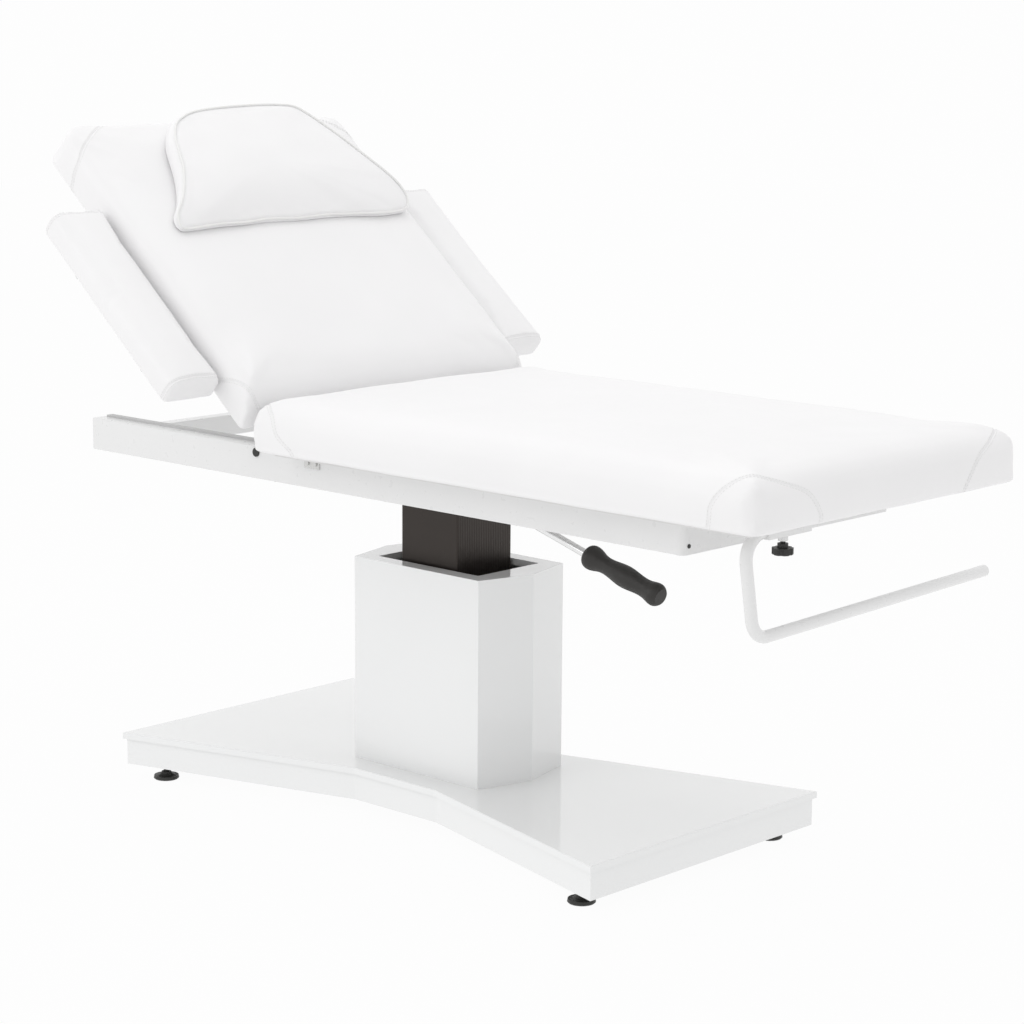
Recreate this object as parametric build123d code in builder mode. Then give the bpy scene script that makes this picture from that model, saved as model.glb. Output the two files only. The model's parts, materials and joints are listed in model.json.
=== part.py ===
"""Facial treatment bed: electric lifting column on a low base, fixed seat, tilting backrest.

Millimetres, +Z up, +X towards the foot end, +Y towards the far side.
The origin is on the floor, under the middle of the bed's whole outline.
"""

import os
from math import cos, hypot, pi, radians, sin, tan

from build123d import *

os.makedirs("parts", exist_ok=True)

SIDES = {"near": -1, "far": 1}
ENDS = {"head": -1, "foot": 1}

# ---------------------------------------------------------------- driving dimensions
base_x = -112.3  # middle of the base, which stands back from the middle of the bed
column_x = base_x - 5

base_half_length = 591.0
base_half_width = 302.0
waist_half_length = 103.0
waist_half_width = 165.0
waist_round = 45.0
base_top = 87.0
base_plate_thickness = 12.0
base_plate_bottom = base_top - base_plate_thickness
skirt_inset = 5.0
skirt_wall = 12.0
skirt_bottom = 26.0

foot_x = 527.0
foot_y = 250.0
foot_pad_radius = 24.0
foot_pad_height = 14.0
foot_stem_radius = 5.0
running_gap = 0.05  # radial clearance of a pin or stem in its hole

base_tube_bottom = 30.0
base_tube_height = 37.0
flange_bottom = base_tube_bottom + base_tube_height

casing_top = 463.0
casing_half_length = 155.4
casing_half_depth = 110.0
casing_ridge = 185.0
casing_board = 16.0
inlet_x = base_x + 80
inlet_z = base_top + 60
handset_z = inlet_z + 62
casing_panel = 12.0
rim_thickness = 12.0
rim_opening = (250.0, 158.0)

column_width = 140.0
column_wall = 4.0
guide_width = 158.0
guide_wall = 5.0
guide_top = 440.0
flange_thickness = 8.0
flange_top = flange_bottom + flange_thickness
column_bottom = 250.0

rail_bottom = 615.0
rail_height = 60.0
rail_top = rail_bottom + rail_height
rail_width = 40.0
rail_wall = 3.0
frame_half_width = 272.4
rail_head_end = base_x - 699.0
rail_foot_end = base_x + 733.0
end_bar_thickness = 14.0
rail_inner = frame_half_width - rail_width

head_plate_thickness = 8.0
column_top = rail_bottom - head_plate_thickness

seat_bottom = 678.5
seat_top = 783.0
seat_half_width = 355.0
seat_head_end = base_x - 160.0
seat_foot_end = base_x + 950.5
board_thickness = 15.0

hinge_x = base_x - 162.0
hinge_z = 744.0
hinge_pin_radius = 5.0
back_angle = 40.5
back_start = 1.5  # from the hinge axis, along the backrest
back_end = 714.0
back_low = -45.0  # underside of the backrest cushion, below the hinge axis
back_thickness = 88.0
back_high = back_low + back_thickness
tube_depth = 18.0

armrest_start = 84.0
armrest_end = 507.0
armrest_inner = 358.5
armrest_outer = 476.5
armrest_thickness = 61.0
armrest_bar_radius = 6.0
armrest_bar_places = (180.0, 410.0)

lever_y = -186.0
lever_slope = 16.6
lever_pivot = (base_x + 227.0, 640.0)
lever_rod_radius = 7.0

roll_x = base_x + 865.0
roll_tube_radius = 10.0
roll_leg_top = 662.0

spring_low = (base_x - 190.0, 660.0)
spring_high = (210.0, -95.0)  # along the backrest and below the hinge axis


# ---------------------------------------------------------------- shared shapes
along_back = Vector(-cos(radians(back_angle)), 0, sin(radians(back_angle)))
back_normal = Vector(sin(radians(back_angle)), 0, cos(radians(back_angle)))


def back_point(along, y, height):
    """A point of the tilted backrest, from the hinge axis, in the bed's own frame."""
    return Vector(hinge_x, y, hinge_z) + along_back * along + back_normal * height


def back_section(y):
    """The plane across the backrest at y, along the backrest and out of its face."""
    return Plane(origin=(hinge_x, y, hinge_z), x_dir=along_back, z_dir=(0, 1, 0))


def back_layer(height):
    """The plane parallel to the backrest's face; its own y runs towards the near side."""
    return Plane(origin=back_point(0, 0, height), x_dir=along_back, z_dir=back_normal)


def level(height):
    return Plane.XY.offset(height)


def section(y):
    """The upright plane along the bed at y; its own y is the height."""
    return Plane(origin=(0, y, 0), x_dir=(1, 0, 0), z_dir=(0, -1, 0))


def save(piece, label):
    piece.part.label = label
    export_step(piece.part, f"parts/{label}.step")


def block(label, x, y, z):
    """A plain rectangular piece between pairs of x, y and z."""
    with BuildPart() as piece:
        with BuildSketch(level(z[0])):
            with Locations(((x[0] + x[1]) / 2, (y[0] + y[1]) / 2)):
                Rectangle(x[1] - x[0], y[1] - y[0])
        extrude(amount=z[1] - z[0])
    save(piece, label)


def box_tube(label, plane, width, height, wall, length):
    """A rectangular tube whose section is centred on the plane's origin."""
    with BuildPart() as piece:
        with BuildSketch(plane):
            RectangleRounded(width, height, wall)
            Rectangle(width - 2 * wall, height - 2 * wall, mode=Mode.SUBTRACT)
        extrude(amount=length)
    save(piece, label)


def cross_tubes(label, places, height):
    """30 mm wide tubes from rail to rail, standing level with the rails' undersides."""
    with BuildPart() as piece:
        for x in places:
            start = Plane(
                origin=(x, -rail_inner, rail_bottom + height / 2), x_dir=(1, 0, 0), z_dir=(0, 1, 0)
            )
            with BuildSketch(start):
                RectangleRounded(30, height, 2.5)
                Rectangle(25, height - 5, mode=Mode.SUBTRACT)
            extrude(amount=2 * rail_inner)
    save(piece, label)


# ---------------------------------------------------------------- base
def base_outline(inset):
    """Half of a bow tie for each end, joined at a straight waist."""
    taper = (base_half_width - waist_half_width) / (base_half_length - waist_half_length)
    end = base_half_length - inset
    waist = waist_half_width - inset * hypot(1, taper)
    wide = waist + (end - waist_half_length) * taper
    corners = [(end, wide), (waist_half_length, waist), (-waist_half_length, waist), (-end, wide)]
    corners += [(-x, -y) for x, y in corners]
    with BuildSketch(mode=Mode.PRIVATE) as outline:
        with BuildLine():
            Polyline(*corners, close=True)
        make_face()
        kinks = [v for v in outline.vertices() if abs(v.X) < waist_half_length + 1]
        fillet(kinks, waist_round)
    return outline.sketch


with BuildPart() as base_plate:
    with BuildSketch(level(base_plate_bottom)):
        with Locations((base_x, 0)):
            add(base_outline(0))
        with Locations((column_x, 0)):
            Rectangle(236, 194, mode=Mode.SUBTRACT)
    extrude(amount=base_plate_thickness)
    chamfer(base_plate.edges().group_by(Axis.Z)[-1].filter_by(lambda e: e.length > 250), 1)
save(base_plate, "base_plate")

skirt_height = base_plate_bottom - skirt_bottom
skirt_end = base_half_length - skirt_inset
with BuildPart() as base_skirt:
    for side in SIDES.values():
        with BuildSketch(level(skirt_bottom)):
            with Locations((base_x, 0)):
                add(base_outline(skirt_inset))
                add(base_outline(skirt_inset + skirt_wall), mode=Mode.SUBTRACT)
            with Locations((base_x, side * base_half_width)):
                Rectangle(2 * (skirt_end - skirt_wall), 400, mode=Mode.INTERSECT)
        extrude(amount=skirt_height)
    for end in ENDS.values():
        with BuildSketch(level(skirt_bottom)):
            with Locations((base_x, 0)):
                add(base_outline(skirt_inset))
            with Locations((base_x + end * (skirt_end - skirt_wall / 2), 0)):
                Rectangle(skirt_wall, 2 * base_half_width, mode=Mode.INTERSECT)
        extrude(amount=skirt_height)
save(base_skirt, "base_skirt")

foot_tube_width = 40.0
with BuildPart() as base_cross_tubes:
    for end in ENDS.values():
        with BuildSketch(level(base_tube_bottom)):
            with Locations((base_x + end * foot_x, 0)):
                Rectangle(foot_tube_width, 516)
        extrude(amount=base_tube_height)
        with BuildSketch(level(base_tube_bottom + 3)):
            with Locations((base_x + end * foot_x, 0)):
                Rectangle(foot_tube_width - 6, 470)
        extrude(amount=base_tube_height - 6, mode=Mode.SUBTRACT)
        with BuildSketch(level(base_tube_bottom)):
            with Locations((base_x + end * foot_x, -foot_y), (base_x + end * foot_x, foot_y)):
                Circle(foot_stem_radius + running_gap)
        extrude(amount=base_tube_height - 3, mode=Mode.SUBTRACT)
save(base_cross_tubes, "base_cross_tubes")

spine_half_length = foot_x - foot_tube_width / 2
with BuildPart() as base_spines:
    for side in SIDES.values():
        spine_start = Plane(
            origin=(base_x - spine_half_length, side * 85, base_tube_bottom + base_tube_height / 2),
            x_dir=(0, 1, 0),
            z_dir=(1, 0, 0),
        )
        with BuildSketch(spine_start):
            Rectangle(40, base_tube_height)
            Rectangle(34, base_tube_height - 6, mode=Mode.SUBTRACT)
        extrude(amount=2 * spine_half_length)
save(base_spines, "base_spines")

nut_height = 8.0
with BuildPart() as foot_lock_nuts:
    with BuildSketch(level(base_tube_bottom - nut_height)):
        with Locations((base_x, 0)):
            with GridLocations(2 * foot_x, 2 * foot_y, 2, 2):
                RegularPolygon(9.8, 6)
                Circle(foot_stem_radius + running_gap, mode=Mode.SUBTRACT)
    extrude(amount=nut_height)
save(foot_lock_nuts, "foot_lock_nuts")

for end_name, end in ENDS.items():
    for side_name, side in SIDES.items():
        foot_at = (base_x + end * foot_x, side * foot_y)
        upright = Plane(origin=(*foot_at, 0), x_dir=(1, 0, 0), z_dir=(0, -1, 0))
        with BuildPart() as foot:
            with BuildSketch(upright):
                with BuildLine():
                    rim = Line((foot_pad_radius - 2, 0), (foot_pad_radius, 2))
                    wall = Line(rim @ 1, (foot_pad_radius - 1, 7))
                    ThreePointArc(wall @ 1, (13, 9), (9, foot_pad_height))
                    Polyline((9, foot_pad_height), (0, foot_pad_height), (0, 0), rim @ 0)
                make_face()
            revolve(axis=Axis(upright.origin, (0, 0, 1)))
            with BuildSketch(level(foot_pad_height)):
                with Locations(foot_at):
                    Circle(foot_stem_radius)
            extrude(amount=42)
        save(foot, f"levelling_foot_{end_name}_{side_name}")

# ---------------------------------------------------------------- casing round the column
casing_outline = [
    (casing_half_length, -casing_half_depth),
    (casing_ridge, 0),
    (casing_half_length, casing_half_depth),
    (-casing_half_length, casing_half_depth),
    (-casing_ridge, 0),
    (-casing_half_length, -casing_half_depth),
]
casing_height = casing_top - base_top
inner_half_depth = casing_half_depth - casing_board
facet_stretch = hypot(casing_half_depth, casing_ridge - casing_half_length) / casing_half_depth
facet_inset = casing_panel * facet_stretch


def casing_sketch(inset):
    """The six-sided outline, with its four end facets moved in by inset along x."""
    with BuildSketch(mode=Mode.PRIVATE) as outline:
        with BuildLine():
            Polyline(*[(x - inset * (1 if x > 0 else -1), y) for x, y in casing_outline], close=True)
        make_face()
    return outline.sketch


for name, side in SIDES.items():
    with BuildPart() as casing_board_piece:
        with BuildSketch(level(base_top)):
            with Locations((base_x, 0)):
                add(casing_sketch(0))
            with Locations((base_x, side * (casing_half_depth - casing_board / 2))):
                Rectangle(500, casing_board, mode=Mode.INTERSECT)
        extrude(amount=casing_height)
        if name == "far":
            with BuildSketch(section(casing_half_depth)):
                with Locations((inlet_x, inlet_z)):
                    Rectangle(28, 48)
                with Locations((inlet_x, handset_z)):
                    Circle(9)
            extrude(amount=casing_board, mode=Mode.SUBTRACT)
    save(casing_board_piece, {"near": "casing_front_board", "far": "casing_rear_board"}[name])

with BuildPart() as casing_ends:
    for end in ENDS.values():
        with BuildSketch(level(base_top)):
            with Locations((base_x, 0)):
                add(casing_sketch(0))
                add(casing_sketch(facet_inset), mode=Mode.SUBTRACT)
            with Locations((base_x + end * (casing_ridge + 2) / 2, 0)):
                Rectangle(casing_ridge + 2, 2 * inner_half_depth, mode=Mode.INTERSECT)
        extrude(amount=casing_height)
save(casing_ends, "casing_end_panels")

with BuildPart() as casing_rim:
    with BuildSketch(level(casing_top - rim_thickness)):
        with Locations((base_x, 0)):
            add(casing_sketch(facet_inset))
            Rectangle(500, 2 * inner_half_depth, mode=Mode.INTERSECT)
            Rectangle(*rim_opening, mode=Mode.SUBTRACT)
    extrude(amount=rim_thickness)
save(casing_rim, "casing_top_rim")

# ---------------------------------------------------------------- lifting column
with BuildPart() as column_flange:
    with BuildSketch(level(flange_bottom)):
        with Locations((column_x, 0)):
            RectangleRounded(230, 216, 8)
            with GridLocations(200, 170, 2, 2):
                Circle(5, mode=Mode.SUBTRACT)
    extrude(amount=flange_thickness)
save(column_flange, "column_flange")

with BuildPart() as column_bolts:
    for base, height, size in ((flange_bottom, flange_thickness, 5), (flange_top, 6, 8.5)):
        with BuildSketch(level(base)):
            with Locations((column_x, 0)):
                with GridLocations(200, 170, 2, 2):
                    Circle(size)
        extrude(amount=height)
save(column_bolts, "column_bolts")

guide_bottom = flange_top
guide_bore = guide_width - 2 * guide_wall
column_bore = column_width - 2 * column_wall
with BuildPart() as column_guide:
    with BuildSketch(level(guide_bottom)):
        with Locations((column_x, 0)):
            RectangleRounded(guide_width, guide_width, 6)
            Rectangle(guide_bore, guide_bore, mode=Mode.SUBTRACT)
    extrude(amount=guide_top - guide_bottom)
save(column_guide, "column_outer_tube")

with BuildPart() as column_tube:
    with BuildSketch(level(column_bottom)):
        with Locations((column_x, 0)):
            RectangleRounded(column_width, column_width, 3)
            Rectangle(column_bore, column_bore, mode=Mode.SUBTRACT)
    extrude(amount=column_top - column_bottom)
save(column_tube, "column_inner_tube")

glide_gap = 0.3
glide_thickness = (guide_bore - column_width) / 2 - glide_gap
glide_offset = (guide_bore - glide_thickness) / 2
with BuildPart() as column_glides:
    for height in (guide_top - 40, guide_top - 110):
        with BuildSketch(level(height)):
            with Locations((column_x, 0)):
                with PolarLocations(glide_offset, 4):
                    Rectangle(glide_thickness, 90)
        extrude(amount=30)
save(column_glides, "column_glides")

with BuildPart() as column_head_plate:
    with BuildSketch(level(column_top)):
        with Locations((column_x, 0)):
            RectangleRounded(220, 150, 8)
    extrude(amount=head_plate_thickness)
save(column_head_plate, "column_head_plate")

actuator_x = column_x - 28
ram_radius = 14.0
with BuildPart() as actuator_tube:
    with BuildSketch(level(guide_bottom)):
        with Locations((actuator_x, 0)):
            Circle(25)
    extrude(amount=315)
    with BuildSketch(level(guide_bottom + 15)):
        with Locations((actuator_x, 0)):
            Circle(ram_radius + running_gap)
    extrude(amount=300, mode=Mode.SUBTRACT)
save(actuator_tube, "actuator_tube")

with BuildPart() as actuator_ram:
    with BuildSketch(level(guide_bottom + 175)):
        with Locations((actuator_x, 0)):
            Circle(ram_radius)
    extrude(amount=column_top - guide_bottom - 175)
save(actuator_ram, "actuator_ram")

with BuildPart() as lift_motor:
    with BuildSketch(level(guide_bottom)):
        with Locations((column_x + 26, 0)):
            RectangleRounded(56, 60, 8)
    extrude(amount=28)
    with BuildSketch(level(guide_bottom + 28)):
        with Locations((column_x + 27, 0)):
            Circle(26)
    extrude(amount=112)
save(lift_motor, "lift_motor")

block("control_box", (base_x + 88, base_x + 148), (-60, 60), (base_top, base_top + 190))

with BuildPart() as rear_sockets:
    with BuildSketch(section(casing_half_depth)):
        with Locations((inlet_x, inlet_z)):
            Rectangle(28, 48)
    extrude(amount=casing_board)
    with BuildSketch(section(casing_half_depth)):
        with Locations((inlet_x, inlet_z)):
            RectangleRounded(36, 60, 4)
    extrude(amount=-2.5)
    with BuildSketch(section(casing_half_depth + 2.5)):
        with Locations((inlet_x, inlet_z)):
            RectangleRounded(17, 25, 3)
    extrude(amount=15, mode=Mode.SUBTRACT)
    for depth, size, length in ((-casing_board, 9, casing_board), (0, 12, 2)):
        with BuildSketch(section(casing_half_depth + depth)):
            with Locations((inlet_x, handset_z)):
                Circle(size)
        extrude(amount=-length)
    with BuildSketch(section(casing_half_depth + 2)):
        with Locations((inlet_x, handset_z)):
            Circle(6.5)
    extrude(amount=12, mode=Mode.SUBTRACT)
save(rear_sockets, "rear_sockets")

# ---------------------------------------------------------------- upper frame
bracket_thickness = 6.0
for name, side in SIDES.items():
    rail_start = Plane(
        origin=(rail_head_end, side * (frame_half_width - rail_width / 2), rail_bottom + rail_height / 2),
        x_dir=(0, 1, 0),
        z_dir=(1, 0, 0),
    )
    box_tube(f"rail_{name}", rail_start, rail_width, rail_height, rail_wall, rail_foot_end - rail_head_end)

with BuildPart() as rail_end_caps:
    for side in SIDES.values():
        with BuildSketch(Plane(origin=(rail_head_end, 0, 0), x_dir=(0, 1, 0), z_dir=(1, 0, 0))):
            with Locations((side * (frame_half_width - rail_width / 2), rail_bottom + rail_height / 2)):
                Rectangle(rail_width - 2 * rail_wall, rail_height - 2 * rail_wall)
        extrude(amount=4)
save(rail_end_caps, "rail_end_caps")

with BuildPart() as frame_end_bar:
    with BuildSketch(level(rail_bottom)):
        with Locations((rail_foot_end + end_bar_thickness / 2, 0)):
            Rectangle(end_bar_thickness, 2 * frame_half_width)
    extrude(amount=rail_height)
    outer_corners = frame_end_bar.edges().filter_by(Axis.Z).group_by(Axis.X)[-1]
    fillet(outer_corners, 12)
save(frame_end_bar, "frame_end_bar")

frame_cross_places = [
    rail_head_end + 40,
    column_x - 75,
    column_x + 75,
    lever_pivot[0] - 50,
    rail_foot_end - 40,
]
cross_tubes("frame_cross_tubes", frame_cross_places, 40)
cross_tubes("spring_cross_tube", [spring_low[0]], 22)

strip_start = rail_head_end + 10
strip_end = seat_head_end - 15
with BuildPart() as rest_strips:
    with BuildSketch(level(rail_top)):
        for side in SIDES.values():
            with Locations(((strip_start + strip_end) / 2, side * (rail_inner + 7))):
                Rectangle(strip_end - strip_start, 14)
    extrude(amount=4)
save(rest_strips, "backrest_rest_strips")

# Upright hinge plates on the inner faces of the rails, which carry the hinge pins.
bracket_low = 640.0
with BuildPart() as hinge_brackets:
    for side in SIDES.values():
        with BuildSketch(section(side * (rail_inner - bracket_thickness))):
            with Locations((hinge_x, (bracket_low + hinge_z) / 2)):
                Rectangle(28, hinge_z - bracket_low)
            with Locations((hinge_x, hinge_z)):
                Circle(14)
                Circle(hinge_pin_radius, mode=Mode.SUBTRACT)
        extrude(amount=-side * bracket_thickness)
save(hinge_brackets, "hinge_brackets")

# Small bright angle clips under the seat's edge, on the outer faces of the rails.
clip_x = base_x - 91.0
with BuildPart() as seat_clips:
    for side in SIDES.values():
        with BuildSketch(section(side * frame_half_width)):
            with Locations((clip_x, rail_top - 14)):
                Rectangle(38, 20)
        extrude(amount=-side * 2.5)
        with BuildSketch(section(side * (frame_half_width + 2.5))):
            with Locations((clip_x - 10, rail_top - 15), (clip_x + 10, rail_top - 15)):
                Circle(4)
        extrude(amount=-side * 2.5)
save(seat_clips, "seat_clips")

plug_x = base_x - 237.0
screw_at = rail_foot_end + end_bar_thickness
with BuildPart() as frame_plugs:
    for side in SIDES.values():
        with BuildSketch(section(side * frame_half_width)):
            with Locations((plug_x, rail_bottom + 48)):
                Circle(8)
        extrude(amount=-side * 2.5)
        with BuildSketch(Plane(origin=(screw_at, side * 258.0, rail_bottom + 14), z_dir=(1, 0, 0))):
            Circle(3.5)
        extrude(amount=1.2)
save(frame_plugs, "frame_plugs")

# ---------------------------------------------------------------- seat
slot_low_y = rail_inner - bracket_thickness - 6
slot_width = 2 * bracket_thickness + 12
slot_middle_y = slot_low_y + slot_width / 2
seat_head_round = 40.0
seat_foot_round = 45.0
seat_corner_round = 60.0
board_inset = 30.0

with BuildPart() as seat_cushion:
    with BuildSketch(section(0)):
        with BuildLine():
            head = Line((seat_head_end, seat_bottom), (seat_head_end, seat_top - seat_head_round))
            head_arc = RadiusArc(head @ 1, (seat_head_end + seat_head_round, seat_top), seat_head_round)
            top = Line(head_arc @ 1, (seat_foot_end - seat_foot_round, seat_top - 4))
            foot_arc = RadiusArc(top @ 1, (seat_foot_end, seat_top - 4 - seat_foot_round), seat_foot_round)
            foot = Line(foot_arc @ 1, (seat_foot_end, seat_bottom + 18))
            low_arc = RadiusArc(foot @ 1, (seat_foot_end - 18, seat_bottom), 18)
            Line(low_arc @ 1, head @ 0)
        make_face()
    extrude(amount=seat_half_width, both=True)
    with BuildSketch(level(seat_bottom - 1)) as seat_plan:
        with Locations(((seat_head_end + seat_foot_end) / 2, 0)):
            Rectangle(seat_foot_end - seat_head_end, 2 * seat_half_width)
        fillet(seat_plan.vertices().group_by(Axis.X)[-1], seat_corner_round)
    extrude(amount=seat_top - seat_bottom + 2, mode=Mode.INTERSECT)
    with BuildSketch(level(seat_bottom)):
        with Locations(((seat_head_end + seat_foot_end) / 2, 0)):
            Rectangle(seat_foot_end - seat_head_end - 2 * board_inset, 2 * (seat_half_width - board_inset))
    extrude(amount=rail_top + board_thickness - seat_bottom, mode=Mode.SUBTRACT)
    with BuildSketch(level(seat_bottom)):
        with Locations((seat_head_end, -slot_middle_y), (seat_head_end, slot_middle_y)):
            Rectangle(50, slot_width)
    extrude(amount=hinge_z + 20 - seat_bottom, mode=Mode.SUBTRACT)
save(seat_cushion, "seat_cushion")

block(
    "seat_board",
    (seat_head_end + board_inset, seat_foot_end - board_inset),
    (-seat_half_width + board_inset, seat_half_width - board_inset),
    (rail_top, rail_top + board_thickness),
)

# ---------------------------------------------------------------- paper roll holder
socket_near_y = -225.0
socket_far_y = -118.0
roll_bend = 38.0
roll_points = [
    Vector(roll_x, socket_far_y - 5, roll_leg_top),
    Vector(roll_x, -272, roll_leg_top),
    Vector(roll_x, -242, 496),
    Vector(roll_x, 387, 513),
]

with BuildPart() as roll_socket:
    with BuildSketch(level(rail_top - 3)):
        with Locations((roll_x, (socket_near_y + socket_far_y) / 2)):
            RectangleRounded(60, 130, 5)
    extrude(amount=3)
    with BuildSketch(section(socket_near_y)):
        with Locations((roll_x, roll_leg_top)):
            Rectangle(26, 20)
    extrude(amount=-(socket_far_y - socket_near_y))
    with BuildSketch(level(roll_leg_top - 19)):
        with Locations((roll_x, -174)):
            Circle(8)
    extrude(amount=9.5)
    with BuildSketch(section(socket_near_y)):
        with Locations((roll_x, roll_leg_top)):
            Circle(roll_tube_radius + running_gap)
    extrude(amount=-(socket_far_y - socket_near_y), mode=Mode.SUBTRACT)
    with BuildSketch(level(roll_leg_top - 19)):
        with Locations((roll_x, -174)):
            Circle(4 + running_gap)
    extrude(amount=12, mode=Mode.SUBTRACT)
save(roll_socket, "roll_socket")

with BuildPart() as roll_holder_tube:
    with BuildLine():
        FilletPolyline(*roll_points, radius=roll_bend)
    with BuildSketch(Plane(origin=roll_points[0], z_dir=(0, -1, 0))):
        Circle(roll_tube_radius)
        Circle(roll_tube_radius - 1.5, mode=Mode.SUBTRACT)
    sweep()
save(roll_holder_tube, "roll_holder_tube")

knob_y = -174.0
stud_top = roll_leg_top - roll_tube_radius - 0.3
with BuildPart() as clamp_knob:
    with BuildSketch(level(roll_leg_top - 41)):
        with Locations((roll_x, knob_y)):
            Circle(17)
            with PolarLocations(19.5, 6):
                Circle(4.5, mode=Mode.SUBTRACT)
    extrude(amount=11)
    chamfer(clamp_knob.edges().group_by(Axis.Z)[0], 1.5)
    with BuildSketch(level(roll_leg_top - 30)):
        with Locations((roll_x, knob_y)):
            Circle(8.5)
    extrude(amount=7)
    with BuildSketch(level(roll_leg_top - 30)):
        with Locations((roll_x, knob_y)):
            Circle(4)
    extrude(amount=stud_top - roll_leg_top + 30)
save(clamp_knob, "clamp_knob")

# ---------------------------------------------------------------- backrest
back_board_inset = 28.0
tube_low = back_low - tube_depth
side_tube_y = rail_inner + 1 + bracket_thickness + 8
side_tube_width = 25.0

with BuildPart() as back_cushion:
    with BuildSketch(back_section(0)):
        with BuildLine():
            low_round, top_round, end_round, under_round = 10.0, 75.0, 34.0, 20.0
            under = Line((back_end - under_round, back_low), (back_start + low_round, back_low))
            corner = RadiusArc(under @ 1, (back_start, back_low + low_round), low_round)
            face = Line(corner @ 1, (back_start, back_high - top_round))
            valley = RadiusArc(face @ 1, (back_start + top_round, back_high), top_round)
            front = Line(valley @ 1, (back_end - end_round, back_high))
            end_arc = RadiusArc(front @ 1, (back_end, back_high - end_round), end_round)
            end_face = Line(end_arc @ 1, (back_end, back_low + under_round))
            RadiusArc(end_face @ 1, under @ 0, under_round)
        make_face()
    extrude(amount=seat_half_width, both=True)
    with BuildSketch(back_layer(back_low - 1)) as back_plan:
        with Locations(((back_start + back_end) / 2, 0)):
            Rectangle(back_end - back_start, 2 * seat_half_width)
        fillet(back_plan.vertices().group_by(Axis.X)[-1], 78)
    extrude(amount=back_thickness + 2, mode=Mode.INTERSECT)
    with BuildSketch(back_layer(back_low)):
        with Locations(((back_start + back_end) / 2, 0)):
            Rectangle(back_end - back_start - 2 * back_board_inset, 2 * (seat_half_width - back_board_inset))
    extrude(amount=board_thickness, mode=Mode.SUBTRACT)
    with BuildSketch(back_layer(back_low)):
        with Locations((back_start, -slot_middle_y), (back_start, slot_middle_y)):
            Rectangle(62, slot_width)
    extrude(amount=-back_low + 19, mode=Mode.SUBTRACT)
save(back_cushion, "backrest_cushion")

with BuildPart() as back_board:
    with BuildSketch(back_layer(back_low)):
        with Locations(((back_start + back_end) / 2, 0)):
            Rectangle(back_end - back_start - 2 * back_board_inset, 2 * (seat_half_width - back_board_inset))
    extrude(amount=board_thickness)
save(back_board, "backrest_board")

side_tube_end = 600.0
tube_wall = 2.0
bar_half_length = side_tube_y - side_tube_width / 2
side_tube_length = side_tube_end - 30
subframe_tubes = [
    (side_tube_end - side_tube_length / 2, side * side_tube_y, side_tube_length, side_tube_width)
    for side in SIDES.values()
]
subframe_tubes += [(along, 0, 30, 2 * bar_half_length) for along in (spring_high[0], 560)]
with BuildPart() as back_subframe:
    for along, y, length, width in subframe_tubes:
        with BuildSketch(back_layer(tube_low)):
            with Locations((along, y)):
                Rectangle(length, width)
        extrude(amount=tube_depth)
        with BuildSketch(back_layer(tube_low + tube_wall)):
            with Locations((along, y)):
                Rectangle(length - 2 * tube_wall, width - 2 * tube_wall)
        extrude(amount=tube_depth - 2 * tube_wall, mode=Mode.SUBTRACT)
save(back_subframe, "backrest_subframe")

with BuildPart() as hinge_ears:
    for side in SIDES.values():
        with BuildSketch(back_section(side * (rail_inner + 1))):
            with BuildLine():
                Polyline(
                    (-12, 0),
                    (-12, tube_low + 26),
                    (0, tube_low),
                    (29.5, tube_low),
                    (29.5, back_low),
                    (12, -20),
                    (12, 0),
                    close=True,
                )
            make_face()
            Circle(12)
            Circle(hinge_pin_radius + running_gap, mode=Mode.SUBTRACT)
        extrude(amount=side * bracket_thickness)
save(hinge_ears, "hinge_ears")

# The clevis has a long hole, so the gas spring's rod end has play towards the board.
clevis_gap = 16.0
clevis_plate = 4.0
with BuildPart() as spring_clevis:
    for side in SIDES.values():
        with BuildSketch(back_section(side * clevis_gap / 2)):
            with Locations((spring_high[0] + 5, (tube_low + spring_high[1] - 14) / 2)):
                Rectangle(56, tube_low - spring_high[1] + 14)
            with Locations((spring_high[0] + 2.4, spring_high[1] + 6.1)):
                RectangleRounded(13.4, 21.8, 4, mode=Mode.SUBTRACT)
        extrude(amount=side * clevis_plate)
save(spring_clevis, "spring_clevis")

# ---------------------------------------------------------------- armrests
arm_middle = (armrest_start + armrest_end) / 2
arm_length = armrest_end - armrest_start
arm_width = armrest_outer - armrest_inner
bar_height = back_low - 9
bar_inner_end = seat_half_width - 86
for name, side in SIDES.items():
    middle_y = side * (armrest_inner + armrest_outer) / 2
    with BuildPart() as arm_cushion:
        with BuildSketch(back_layer(back_low)):
            with Locations((arm_middle, -middle_y)):
                RectangleRounded(arm_length, arm_width, 10)
        extrude(amount=armrest_thickness)
        top_edges = arm_cushion.faces().sort_by(Axis(back_point(0, 0, 0), back_normal))[-1].edges()
        fillet(top_edges.sort_by(Axis.Y)[0 if side < 0 else -1], 9)
    save(arm_cushion, f"armrest_cushion_{name}")
    with BuildPart() as arm_bars:
        for along in armrest_bar_places:
            with BuildSketch(back_section(side * bar_inner_end)):
                with Locations((along, bar_height)):
                    Circle(armrest_bar_radius)
            extrude(amount=side * (armrest_outer - 26 - bar_inner_end))
            with BuildSketch(back_section(side * (armrest_inner + 20))):
                with Locations((along, bar_height + 4.5)):
                    Rectangle(20, 9)
            extrude(amount=side * 60)
    save(arm_bars, f"armrest_bars_{name}")

with BuildPart() as arm_sockets:
    for side in SIDES.values():
        for along in armrest_bar_places:
            with BuildSketch(back_section(side * (seat_half_width - 83))):
                with Locations((along, bar_height)):
                    Rectangle(24, 18)
                    Circle(armrest_bar_radius + running_gap, mode=Mode.SUBTRACT)
            extrude(amount=side * 70)
save(arm_sockets, "armrest_sockets")

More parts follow.
